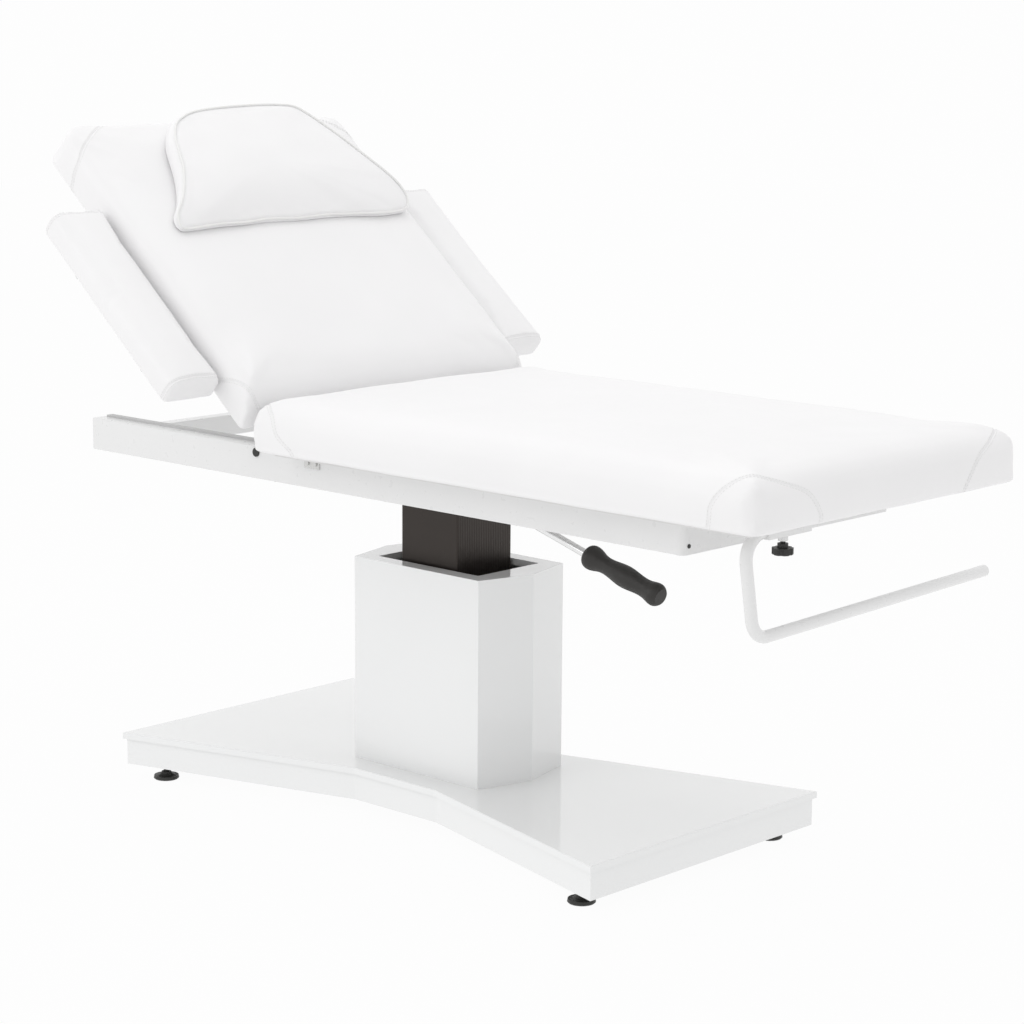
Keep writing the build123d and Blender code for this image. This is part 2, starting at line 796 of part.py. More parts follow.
# ---------------------------------------------------------------- pillow
pillow_y = 8.0
pillow_low = 409.0
pillow_high = 684.0
pillow_low_half = 282.0
pillow_high_half = 165.0
pillow_thickness = 54.0
pillow_base = back_high + 0.3
pillow_half_plan = [(pillow_low, pillow_low_half), (pillow_low + 60, pillow_low_half + 10)]
pillow_half_plan += [(pillow_high, pillow_high_half)]

with BuildPart() as pillow:
    with BuildSketch(back_layer(pillow_base)) as pillow_plan:
        with Locations((0, -pillow_y)):
            with BuildLine():
                Polyline(
                    *[(along, -half) for along, half in pillow_half_plan],
                    *[(along, half) for along, half in reversed(pillow_half_plan)],
                    close=True,
                )
            make_face()
        fillet(pillow_plan.vertices().group_by(Axis.X)[-1], 60)
        fillet(pillow_plan.vertices().group_by(Axis.X)[0], 18)
    extrude(amount=pillow_thickness)
save(pillow, "pillow")

# ---------------------------------------------------------------- release lever
slope = radians(lever_slope)
lever_direction = Vector(cos(slope), 0, -sin(slope))
lever_origin = Vector(lever_pivot[0], lever_y, lever_pivot[1])
grip_start = 258.0
grip_length = 165.0


def lever_plane(along):
    """The plane square to the lever at a distance from its pivot."""
    return Plane(origin=lever_origin + lever_direction * along, x_dir=(0, 1, 0), z_dir=lever_direction)


with BuildPart() as lever_rod:
    with BuildSketch(lever_plane(10)):
        Circle(lever_rod_radius)
    extrude(amount=grip_start + grip_length - 20)
    with BuildSketch(section(lever_y + lever_rod_radius)):
        with Locations((lever_pivot[0], lever_pivot[1])):
            Circle(12)
    extrude(amount=2 * lever_rod_radius)
    with BuildSketch(section(lever_y + 10)):
        with Locations((lever_pivot[0], lever_pivot[1])):
            Circle(4 + running_gap)
    extrude(amount=20, mode=Mode.SUBTRACT)
save(lever_rod, "release_lever_rod")

grip_side = Plane(origin=lever_origin, x_dir=lever_direction, z_dir=(0, 1, 0))
grip_end = grip_start + grip_length
with BuildPart() as lever_grip:
    with BuildSketch(grip_side):
        with BuildLine():
            Spline(
                (grip_start, 12),
                (grip_start + 5, 19),
                (grip_start + 15, 20.5),
                (grip_start + 34, 15.5),
                (grip_start + 85, 18.5),
                (grip_start + 138, 16.5),
                (grip_end - 8, 19),
                (grip_end, 14),
            )
            Polyline((grip_end, 14), (grip_end, 0), (grip_start, 0), (grip_start, 12))
        make_face()
    revolve(axis=Axis(lever_origin, lever_direction))
    with BuildSketch(lever_plane(grip_start - 1)):
        Circle(lever_rod_radius)
    extrude(amount=grip_end - 10 - grip_start + 1, mode=Mode.SUBTRACT)
save(lever_grip, "release_lever_grip")

lever_arm_gap = 2 * lever_rod_radius + 1
with BuildPart() as lever_bracket:
    for side in (-1, 1):
        with BuildSketch(section(lever_y + side * lever_arm_gap / 2)):
            with Locations((lever_pivot[0] - 11, lever_pivot[1])):
                Rectangle(48, 24)
            with Locations((lever_pivot[0], lever_pivot[1])):
                Circle(4, mode=Mode.SUBTRACT)
        extrude(amount=-side * 3)
save(lever_bracket, "lever_bracket")

# ---------------------------------------------------------------- gas spring
spring_top = back_point(spring_high[0], 0, spring_high[1])
spring_foot = Vector(spring_low[0], 0, spring_low[1])
spring_length = (spring_top - spring_foot).length
spring_direction = (spring_top - spring_foot).normalized()
spring_eye = 7.0


def spring_plane(along):
    return Plane(origin=spring_foot + spring_direction * along, x_dir=(0, 1, 0), z_dir=spring_direction)


with BuildPart() as spring_cylinder:
    with BuildSketch(spring_plane(12)):
        Circle(11)
    extrude(amount=140)
    with BuildSketch(section(6)):
        with Locations((spring_low[0], spring_low[1])):
            Circle(12)
    extrude(amount=12)
    with BuildSketch(spring_plane(35)):
        Circle(4 + running_gap)
    extrude(amount=120, mode=Mode.SUBTRACT)
    with BuildSketch(section(7)):
        with Locations((spring_low[0], spring_low[1])):
            Circle(5 + running_gap)
    extrude(amount=14, mode=Mode.SUBTRACT)
save(spring_cylinder, "gas_spring_cylinder")

rod_start = 99.0
with BuildPart() as spring_rod:
    with BuildSketch(spring_plane(rod_start)):
        Circle(4)
    extrude(amount=spring_length - rod_start - 4)
    with BuildSketch(section(5)):
        with Locations((spring_top.X, spring_top.Z)):
            Circle(spring_eye)
    extrude(amount=10)
    with BuildSketch(section(clevis_gap / 2 + clevis_plate + 2)):
        with Locations((spring_top.X, spring_top.Z)):
            Circle(3.5)
    extrude(amount=clevis_gap + 2 * clevis_plate + 4)
save(spring_rod, "gas_spring_rod")

yoke_gap = 13.0
cross_top = rail_bottom + 22
with BuildPart() as spring_yoke:
    for side in (-1, 1):
        with BuildSketch(section(side * yoke_gap / 2)):
            with Locations((spring_low[0], (cross_top + spring_low[1]) / 2)):
                Rectangle(20, spring_low[1] - cross_top)
            with Locations((spring_low[0], spring_low[1])):
                Circle(10)
                Circle(5, mode=Mode.SUBTRACT)
        extrude(amount=-side * 4)
save(spring_yoke, "gas_spring_yoke")

# The frame's pins: (x, height, radius, start, length, head radius), each with its head at the start.
pin_places = [(*lever_pivot, 4, lever_y + lever_arm_gap / 2 + 3, -lever_arm_gap - 6, 6.5)]
pin_places += [(*spring_low, 5, yoke_gap / 2 + 4, -yoke_gap - 8, 8)]
pin_places += [
    (hinge_x, hinge_z, hinge_pin_radius, side * (rail_inner - bracket_thickness), side * 15, 9)
    for side in SIDES.values()
]
with BuildPart() as pivot_pins:
    for x, height, radius, start, length, head in pin_places:
        direction = 1 if length > 0 else -1
        with BuildSketch(section(start)):
            with Locations((x, height)):
                Circle(radius)
        extrude(amount=-length)
        with BuildSketch(section(start)):
            with Locations((x, height)):
                Circle(head)
        extrude(amount=direction * 3)
save(pivot_pins, "pivot_pins")

# Release cable, clipped inside the frame from the lever's bracket to the gas spring's yoke.
cable_height = rail_bottom + 48
cable_radius = 3.0
cable_plan = [(191, -186), (131, -186), (66, -168), (6, -122), (-44, -72)]
cable_plan += [(-90, -42), (-134, -32), (-178, -28)]
cable_points = [Vector(base_x + x, y, cable_height) for x, y in cable_plan]
cable_runs = [b - a for a, b in zip(cable_points, cable_points[1:])]
cable_bends = [
    0.45 * min(a.length, b.length) / tan(radians(a.get_angle(b) / 2))
    for a, b in zip(cable_runs, cable_runs[1:])
]
print("cable radii", [round(r) for r in cable_bends])
with BuildPart() as release_cable:
    with BuildLine() as cable_path:
        FilletPolyline(*cable_points, radius=cable_bends)
    with BuildSketch(Plane(origin=cable_points[0], z_dir=cable_runs[0])):
        Circle(cable_radius)
    sweep()
cable_length = sum(edge.length for edge in cable_path.edges())
print("cable length", round(cable_length), "volume", round(release_cable.part.volume))
print("section times length", round(pi * cable_radius**2 * cable_length))
save(release_cable, "release_cable")
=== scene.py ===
import json
import math

import bpy
import bmesh
import numpy as np
from mathutils import Matrix, Vector
from mathutils.bvhtree import BVHTree
from mathutils.kdtree import KDTree


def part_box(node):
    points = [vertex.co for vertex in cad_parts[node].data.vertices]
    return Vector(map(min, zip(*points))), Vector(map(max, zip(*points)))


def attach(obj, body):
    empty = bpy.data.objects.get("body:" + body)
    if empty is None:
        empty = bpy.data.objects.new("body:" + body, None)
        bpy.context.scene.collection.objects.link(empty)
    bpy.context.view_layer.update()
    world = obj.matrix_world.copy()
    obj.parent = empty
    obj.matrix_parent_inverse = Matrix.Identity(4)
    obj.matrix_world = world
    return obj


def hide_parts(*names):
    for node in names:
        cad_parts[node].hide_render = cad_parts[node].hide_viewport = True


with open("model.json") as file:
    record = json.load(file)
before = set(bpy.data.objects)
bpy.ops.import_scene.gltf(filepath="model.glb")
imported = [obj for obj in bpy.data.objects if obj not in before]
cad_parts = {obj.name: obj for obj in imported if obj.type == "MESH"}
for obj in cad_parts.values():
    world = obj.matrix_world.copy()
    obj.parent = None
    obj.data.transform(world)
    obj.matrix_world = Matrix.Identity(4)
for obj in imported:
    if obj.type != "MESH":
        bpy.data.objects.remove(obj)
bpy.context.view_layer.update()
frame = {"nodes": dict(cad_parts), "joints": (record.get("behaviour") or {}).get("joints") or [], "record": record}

NODES = frame["nodes"]
SCENE = bpy.context.scene


def span(node):
    low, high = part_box(node)
    return low, high, (low + high) / 2


BASE_X = span("base_plate")[2].x


# ------------------------------------------------------------------ camera, stage and lights
def make_camera():
    data = bpy.data.cameras.new("camera")
    data.sensor_width = 36.0
    data.lens = 98.17
    data.clip_end = 60
    cam = bpy.data.objects.new("camera", data)
    SCENE.collection.objects.link(cam)
    place = (BASE_X + 3.4392, -3.5485, 1.4724)
    yaw, pitch, roll = math.radians(42.988), math.radians(10.565), math.radians(0.397)
    forward = Vector((-math.sin(yaw) * math.cos(pitch), math.cos(yaw) * math.cos(pitch), -math.sin(pitch)))
    right = Vector((math.cos(yaw), math.sin(yaw), 0))
    up = right.cross(forward)
    tilted_right = right * math.cos(roll) + up * math.sin(roll)
    tilted_up = up * math.cos(roll) - right * math.sin(roll)
    turn = Matrix((tilted_right, tilted_up, -forward)).transposed()
    cam.matrix_world = Matrix.Translation(place) @ turn.to_4x4()
    SCENE.camera = cam


def area_light(name, at, look, size, power):
    data = bpy.data.lights.new(name, "AREA")
    data.energy = power
    data.shape = "SQUARE"
    data.size = size
    lamp = bpy.data.objects.new(name, data)
    SCENE.collection.objects.link(lamp)
    lamp.location = at
    lamp.rotation_euler = (Vector(look) - Vector(at)).to_track_quat("-Z", "Y").to_euler()


def make_stage():
    world = bpy.data.worlds.new("studio")
    world.use_nodes = True
    nodes, links = world.node_tree.nodes, world.node_tree.links
    where = nodes.new("ShaderNodeTexCoord")
    split = nodes.new("ShaderNodeSeparateXYZ")
    range_of = nodes.new("ShaderNodeMapRange")  # a little darker beyond the foot end
    range_of.inputs["From Min"].default_value = 0.15
    range_of.inputs["From Max"].default_value = 0.95
    range_of.inputs["To Min"].default_value = 0.985
    range_of.inputs["To Max"].default_value = 0.8
    links.new(where.outputs["Generated"], split.inputs[0])
    links.new(split.outputs["X"], range_of.inputs["Value"])
    links.new(range_of.outputs["Result"], nodes["Background"].inputs["Strength"])
    nodes["Background"].inputs["Color"].default_value = (1, 1, 1, 1)
    SCENE.world = world
    SCENE.view_settings.view_transform = "Standard"
    mesh = bpy.data.meshes.new("floor")
    half = 14
    corners = [(-half, -half, 0), (half, -half, 0), (half, half, 0), (-half, half, 0)]
    mesh.from_pydata(corners, [], [(0, 1, 2, 3)])
    floor = bpy.data.objects.new("floor", mesh)
    SCENE.collection.objects.link(floor)
    paint = bpy.data.materials.new("floor")
    paint.use_nodes = True
    shader = paint.node_tree.nodes["Principled BSDF"]
    shader.inputs["Base Color"].default_value = (0.02, 0.02, 0.02, 1)
    shader.inputs["Roughness"].default_value = 0.9
    shader.inputs["Specular IOR Level"].default_value = 0.0
    shader.inputs["Emission Color"].default_value = (1, 1, 1, 1)
    shader.inputs["Emission Strength"].default_value = 0.965
    mesh.materials.append(paint)
    area_light("key", (-1.6, -3.9, 3.2), (0, 0, 0.6), 2.4, 22)
    area_light("top", (-0.5, 0.8, 4.5), (0, 0, 0.7), 3.0, 20)


# ------------------------------------------------------------------ materials
class Paint:
    """A procedural material: one Principled shader with noise for colour, roughness and bump."""

    def __init__(self, name, colour, rough, metal=0.0, spec=0.5, coat=0.0, coat_rough=0.05):
        self.material = bpy.data.materials.new(name)
        self.material.use_nodes = True
        self.tree = self.material.node_tree
        self.shader = self.tree.nodes["Principled BSDF"]
        self.colour = colour
        values = {
            "Base Color": (*colour, 1),
            "Roughness": rough,
            "Metallic": metal,
            "Specular IOR Level": spec,
            "Coat Weight": coat,
            "Coat Roughness": coat_rough,
        }
        for key, value in values.items():
            self.shader.inputs[key].default_value = value
        coords = self.tree.nodes.new("ShaderNodeTexCoord")
        self.coords = coords.outputs["Object"]
        self.bump_out = None

    def node(self, kind, **settings):
        made = self.tree.nodes.new(kind)
        for key, value in settings.items():
            setattr(made, key, value)
        return made

    def link(self, source, target):
        self.tree.links.new(source, target)

    def noise(self, scale, detail=3.0, stretch=(1, 1, 1)):
        mapping = self.node("ShaderNodeMapping")
        mapping.inputs["Scale"].default_value = stretch
        self.link(self.coords, mapping.inputs["Vector"])
        made = self.node("ShaderNodeTexNoise")
        made.inputs["Scale"].default_value = scale
        made.inputs["Detail"].default_value = detail
        self.link(mapping.outputs["Vector"], made.inputs["Vector"])
        return made.outputs["Fac"]

    def cells(self, scale):
        made = self.node("ShaderNodeTexVoronoi")
        made.inputs["Scale"].default_value = scale
        self.link(self.coords, made.inputs["Vector"])
        return made.outputs["Distance"]

    def spread(self, source, low, high):
        """A 0 to 1 value moved to the range low to high."""
        made = self.node("ShaderNodeMapRange")
        made.inputs["From Min"].default_value = 0.25
        made.inputs["From Max"].default_value = 0.75
        made.inputs["To Min"].default_value = low
        made.inputs["To Max"].default_value = high
        self.link(source, made.inputs["Value"])
        return made.outputs["Result"]

    def vary_colour(self, source, other):
        mix = self.node("ShaderNodeMix", data_type="RGBA")
        mix.inputs["A"].default_value = (*self.colour, 1)
        mix.inputs["B"].default_value = (*other, 1)
        self.link(source, mix.inputs["Factor"])
        self.link(mix.outputs["Result"], self.shader.inputs["Base Color"])

    def vary_rough(self, source, low, high):
        self.link(self.spread(source, low, high), self.shader.inputs["Roughness"])

    def bump(self, source, height, strength=1.0):
        made = self.node("ShaderNodeBump")
        made.inputs["Distance"].default_value = height
        made.inputs["Strength"].default_value = strength
        self.link(source, made.inputs["Height"])
        if self.bump_out is not None:
            self.link(self.bump_out, made.inputs["Normal"])
        self.bump_out = made.outputs["Normal"]
        self.link(self.bump_out, self.shader.inputs["Normal"])


def leather(name, colour):
    paint = Paint(name, colour, 0.45, spec=0.42)
    paint.vary_colour(paint.spread(paint.noise(7, 4), 0.0, 0.5), tuple(c * 0.965 for c in colour))
    paint.vary_rough(paint.noise(60, 4), 0.4, 0.52)
    paint.bump(paint.cells(620), 0.00012, 0.35)
    paint.bump(paint.noise(1900, 2), 0.00008, 0.35)
    paint.bump(paint.noise(42, 3), 0.0004, 0.22)
    return paint.material


def lacquer(name, colour, rough=0.1):
    paint = Paint(name, colour, rough, spec=0.55, coat=0.7, coat_rough=0.04)
    paint.vary_colour(paint.spread(paint.noise(5, 3), 0.0, 0.4), tuple(c * 0.97 for c in colour))
    paint.vary_rough(paint.noise(30, 4), rough * 0.8, rough * 1.5)
    paint.bump(paint.noise(160, 2), 0.00004, 0.3)
    return paint.material


def powder_coat(name, colour, rough=0.3):
    paint = Paint(name, colour, rough, spec=0.5, coat=0.25, coat_rough=0.12)
    paint.vary_colour(paint.spread(paint.noise(9, 3), 0.0, 0.4), tuple(c * 0.96 for c in colour))
    paint.vary_rough(paint.noise(80, 3), rough * 0.85, rough * 1.2)
    paint.bump(paint.noise(900, 2), 0.00003, 0.2)
    return paint.material


def metal(name, colour, rough, grain=0.25):
    paint = Paint(name, colour, rough, metal=1.0)
    streaks = paint.noise(220, 3)
    paint.vary_colour(paint.spread(streaks, 0.0, 0.5), tuple(c * 0.85 for c in colour))
    paint.vary_rough(paint.noise(70, 3), rough * 0.8, rough * 1.3)
    paint.bump(streaks, 0.00004, grain)
    return paint.material


def plastic(name, colour, rough, grain_scale=1100, grain=0.00012):
    paint = Paint(name, colour, rough, spec=0.45)
    paint.vary_colour(paint.spread(paint.noise(14, 3), 0.0, 0.5), tuple(c * 0.8 for c in colour))
    paint.vary_rough(paint.noise(90, 3), rough * 0.85, rough * 1.15)
    paint.bump(paint.cells(grain_scale), grain, 0.4)
    return paint.material


def board(name, colour):
    paint = Paint(name, colour, 0.7, spec=0.3)
    paint.vary_colour(paint.noise(14, 5, (1, 9, 9)), tuple(c * 0.8 for c in colour))
    paint.bump(paint.noise(60, 4, (1, 12, 12)), 0.0003, 0.4)
    return paint.material


def ribbed_column(name, colour):
    paint = Paint(name, colour, 0.3, metal=0.75, spec=0.5)
    wave = paint.node("ShaderNodeTexWave", wave_type="BANDS", bands_direction="Y")
    wave.inputs["Scale"].default_value = 70
    paint.link(paint.coords, wave.inputs["Vector"])
    paint.vary_rough(paint.noise(50, 3, (20, 20, 1)), 0.26, 0.4)
    paint.bump(wave.outputs["Fac"], 0.0005, 0.5)
    paint.bump(paint.noise(300, 2, (6, 6, 0.2)), 0.00006, 0.4)
    return paint.material


WHITE_LEATHER = leather("white_leather", (0.875, 0.87, 0.875))
MATERIALS = {
    "white_upholstery": WHITE_LEATHER,
    "white_frame_paint": powder_coat("white_frame_paint", (0.8, 0.8, 0.8)),
    "white_board": lacquer("white_board", (0.84, 0.845, 0.845)),
    "white_rim": lacquer("white_rim", (0.84, 0.84, 0.84), 0.06),
    "dark_column": ribbed_column("dark_column", (0.045, 0.038, 0.034)),
    "dark_metal": powder_coat("dark_metal", (0.05, 0.05, 0.05), 0.4),
    "bright_steel": metal("bright_steel", (0.66, 0.66, 0.65), 0.28),
    "chrome": metal("chrome", (0.86, 0.86, 0.86), 0.08, grain=0.05),
    "black_plastic": plastic("black_plastic", (0.022, 0.022, 0.02), 0.42),
    "black_rubber": plastic("black_rubber", (0.024, 0.022, 0.02), 0.5, 700, 0.0002),
    "grey_strip": plastic("grey_strip", (0.58, 0.58, 0.58), 0.7, 500, 0.0003),
    "hidden_board": board("hidden_board", (0.83, 0.825, 0.82)),
    "pale_plastic": plastic("pale_plastic", (0.75, 0.75, 0.75), 0.4),
}


def dress_nodes():
    slots = {row["node"]: row["material_slot"] for row in frame["record"]["subparts"]}
    for name, node in NODES.items():
        node.data.materials.clear()
        node.data.materials.append(MATERIALS[slots[name]])
        for face in node.data.polygons:
            face.material_index = 0


# ------------------------------------------------------------------ frames of the soft pieces
JOINTS = {joint["name"]: joint for joint in frame["joints"]}
HINGE = Vector(JOINTS["backrest_tilt"]["pos_m"])
ALONG = Vector(JOINTS["pillow_slide"]["axis"]).normalized()
OUT = Vector((ALONG.z, 0, -ALONG.x))
BACK_FRAME = Matrix(((ALONG.x, 0, OUT.x, HINGE.x), (0, 1, 0, 0), (ALONG.z, 0, OUT.z, HINGE.z), (0, 0, 0, 1)))
SEAT_FRAME = Matrix.Translation((BASE_X, 0, 0))


# ------------------------------------------------------------------ shape helpers
ARC_STEPS = 10


def rounded(corners):
    """A convex outline from (x, y, radius) corners, each corner an arc."""
    out = []
    count = len(corners)
    for k in range(count):
        before, here, after = (Vector(corners[(k + d) % count][:2]) for d in (-1, 0, 1))
        radius = corners[k][2]
        a, b = (before - here).normalized(), (after - here).normalized()
        half = math.acos(max(-1, min(1, a.dot(b)))) / 2
        if radius <= 0 or half > math.radians(89.5):
            out.append(tuple(here))
            continue
        reach = radius / math.tan(half)
        centre = here + (a + b).normalized() * (radius / math.sin(half))
        start, end = here + a * reach - centre, here + b * reach - centre
        turn = start.angle_signed(end)
        for n in range(ARC_STEPS + 1):
            t = -turn * n / ARC_STEPS
            c, s = math.cos(t), math.sin(t)
            out.append((centre.x + start.x * c - start.y * s, centre.y + start.x * s + start.y * c))
    return out


def outward_mesh(name, verts, faces):
    """A mesh of a closed surface, with every face looking outwards."""
    mesh = bpy.data.meshes.new(name)
    mesh.from_pydata(verts, [], faces)
    bm = bmesh.new()
    bm.from_mesh(mesh)
    bmesh.ops.recalc_face_normals(bm, faces=bm.faces)
    bm.to_mesh(mesh)
    bm.free()
    return mesh


def prism(outline, axis, low, high):
    """A closed solid: the outline in the other two axes, pulled along axis from low to high."""
    others = [k for k in range(3) if k != axis]
    verts = []
    for level in (low, high):
        for p in outline:
            point = [0.0, 0.0, 0.0]
            point[others[0]], point[others[1]], point[axis] = p[0], p[1], level
            verts.append(point)
    count = len(outline)
    faces = [list(range(count)), list(range(2 * count - 1, count - 1, -1))]
    faces += [[k, (k + 1) % count, count + (k + 1) % count, count + k] for k in range(count)]
    return outward_mesh("prism", verts, faces)


def linked(name, mesh):
    obj = bpy.data.objects.new(name, mesh)
    SCENE.collection.objects.link(obj)
    return obj


def applied(obj):
    """Puts the result of the object's modifiers into its mesh."""
    bpy.context.view_layer.update()
    graph = bpy.context.evaluated_depsgraph_get()
    mesh = bpy.data.meshes.new_from_object(obj.evaluated_get(graph))
    obj.modifiers.clear()
    old = obj.data
    obj.data = mesh
    bpy.data.meshes.remove(old)
    return obj


def common(name, prisms, voxel, smoothing):
    """The space that all the prisms share, remeshed evenly and with its creases softened."""
    obj = linked(name, prisms[0])
    for other in prisms[1:]:
        cutter = linked("cutter", other)
        cut = obj.modifiers.new("cut", "BOOLEAN")
        cut.operation = "INTERSECT"
        cut.solver = "EXACT"
        cut.object = cutter
        applied(obj)
        bpy.data.objects.remove(cutter)
    remesh = obj.modifiers.new("remesh", "REMESH")
    remesh.mode = "VOXEL"
    remesh.voxel_size = voxel
    smooth = obj.modifiers.new("smooth", "SMOOTH")
    smooth.factor = 0.5
    smooth.iterations = smoothing
    return applied(obj)


def coordinates(mesh):
    flat = np.empty(len(mesh.vertices) * 3)
    mesh.vertices.foreach_get("co", flat)
    return flat.reshape(-1, 3)


def move_to(mesh, points):
    mesh.vertices.foreach_set("co", np.ascontiguousarray(points).ravel())
    mesh.update()


def vertex_normals(mesh):
    flat = np.empty(len(mesh.vertices) * 3)
    mesh.vertex_normals.foreach_get("vector", flat)
    return flat.reshape(-1, 3)


CLOTH_PRESSURE = 4.0
CLOTH_FRAMES = 20
HELD_DEPTH = 0.006  # the lowest part of a pad is glued to its board
SWELL_LIMIT = 0.006  # the foam is firm: the cover moves no further than this


def inflate(obj, bottom):
    """Cloth pressure swells the pad, but what lies on its board stays."""
    before = coordinates(obj.data)
    held = obj.vertex_groups.new(name="held")
    held.add([int(k) for k in np.nonzero(before[:, 2] < bottom + HELD_DEPTH)[0]], 1.0, "REPLACE")
    cloth = obj.modifiers.new("cloth", "CLOTH")
    cloth.settings.quality = 4
    cloth.settings.mass = 0.3
    cloth.settings.tension_stiffness = 25
    cloth.settings.compression_stiffness = 25
    cloth.settings.shear_stiffness = 12
    cloth.settings.bending_stiffness = 2
    cloth.settings.vertex_group_mass = "held"
    cloth.settings.use_pressure = True
    cloth.settings.uniform_pressure_force = CLOTH_PRESSURE
    cloth.settings.effector_weights.gravity = 0
    cloth.point_cache.frame_start = 1
    cloth.point_cache.frame_end = CLOTH_FRAMES
    for number in range(1, CLOTH_FRAMES + 1):
        SCENE.frame_set(number)
    graph = bpy.context.evaluated_depsgraph_get()
    after = coordinates(obj.evaluated_get(graph).data)
    obj.modifiers.clear()
    obj.vertex_groups.clear()
    SCENE.frame_set(1)
    step = after - before
    length = np.maximum(np.linalg.norm(step, axis=1, keepdims=True), 1e-9)
    move_to(obj.data, before + step / length * SWELL_LIMIT * np.tanh(length / SWELL_LIMIT))


def waves(points, scale, seed):
    """Smooth noise at each point, from about -1 to 1."""
    rng = np.random.default_rng(seed)
    count = 7
    total = np.zeros(len(points))
    for _ in range(count):
        direction = rng.normal(size=3)
        direction *= scale * rng.uniform(0.6, 1.5) / np.linalg.norm(direction)
        total += np.sin(points @ direction * 2 * math.pi + rng.uniform(0, 6.28))
    return total / (count / 2)


def ease(obj, bottom, seed):
    """Slight unevenness of hand-pulled upholstery, with small folds where it is stapled under the edge."""
    mesh = obj.data
    swell, pucker, hem = 0.0006, 0.0012, 0.034
    points, normals = coordinates(mesh), vertex_normals(mesh)
    move = swell * waves(points, 5.5, seed) + swell * 0.35 * waves(points, 16, seed + 1)
    near = np.clip(1 - (points[:, 2] - bottom) / hem, 0, 1) * (np.abs(normals[:, 2]) < 0.8)
    folds = np.maximum(waves(points * (1, 1, 0.15), 26, seed + 2), 0) ** 2
    patchy = np.clip(0.5 + waves(points, 3.1, seed + 3), 0, 1)
    move -= pucker * near**1.3 * folds * patchy
    move_to(mesh, points + normals * move[:, None])


def fit(obj, low, high):
    """Stretches the pad so that it just fills the given box."""
    points = coordinates(obj.data)
    least, most = points.min(0), points.max(0)
    move_to(obj.data, low + (points - least) * (np.array(high) - low) / (most - least))


def subdivided(obj):
    made = obj.modifiers.new("subdivision", "SUBSURF")
    made.levels = made.render_levels = 1
    return applied(obj)


def shade_smooth(mesh):
    mesh.polygons.foreach_set("use_smooth", [True] * len(mesh.polygons))
    mesh.update()


def spline_point(a, b, c, d, t):
    """The point at t from b to c on a smooth line through a, b, c and d."""
    return 0.5 * (2 * b + (c - a) * t + (2 * a - 5 * b + 4 * c - d) * t * t + (3 * b - a - 3 * c + d) * t**3)


# ------------------------------------------------------------------ seams
SEAM_STEP = 0.002
SEAM_DEPTH = 0.0015
SEAM_WIDTH = 0.0015
SWELLING = 0.0004  # the leather stands up a little on both sides of a seam
ROW_OFFSET = 0.0034  # from the seam to each row of stitches
THREAD_RADIUS = 0.00042
THREAD_LIFT = 0.0002
POINTS_PER_STITCH = 3


def curve_through(points, step):
    """Points every step along a smooth line through the given ones."""
    points = [Vector(p) for p in points]
    ends = [points[0] * 2 - points[1], *points, points[-1] * 2 - points[-2]]
    out = []
    for k in range(1, len(ends) - 2):
        a, b, c, d = ends[k - 1 : k + 3]
        count = max(2, round((c - b).length / step))
        out += [spline_point(a, b, c, d, n / count) for n in range(count)]
    out.append(points[-1])
    return out


def tube_mesh(paths, radius, sides=6, closed=False):
    """Thin tubes round lists of (point, normal)."""
    verts, faces = [], []
    for path in paths:
        start = len(verts)
        count = len(path)
        for k, (p, n) in enumerate(path):
            a = path[(k - 1) % count if closed else max(k - 1, 0)][0]
            b = path[(k + 1) % count if closed else min(k + 1, count - 1)][0]
            tangent = (b - a).normalized()
            side = tangent.cross(n).normalized()
            up = side.cross(tangent)
            r = radius if closed or 0 < k < count - 1 else radius * 0.35
            for m in range(sides):
                angle = 2 * math.pi * m / sides
                verts.append(p + side * (r * math.cos(angle)) + up * (r * math.sin(angle)))
        for k in range(count if closed else count - 1):
            low, high = start + k * sides, start + (k + 1) % count * sides
            faces += [
                (low + m, low + (m + 1) % sides, high + (m + 1) % sides, high + m) for m in range(sides)
            ]
        if not closed:
            faces.append(tuple(range(start, start + sides))[::-1])
            faces.append(tuple(range(start + (count - 1) * sides, start + count * sides)))
    mesh = bpy.data.meshes.new("tubes")
    mesh.from_pydata([tuple(v) for v in verts], [], faces)
    shade_smooth(mesh)
    return mesh


def laid_on(tree, line, lift=0.0):
    out = []
    for p in line:
        place, normal, _, _ = tree.find_nearest(p)
        out.append((place + normal * lift, normal))
    return out


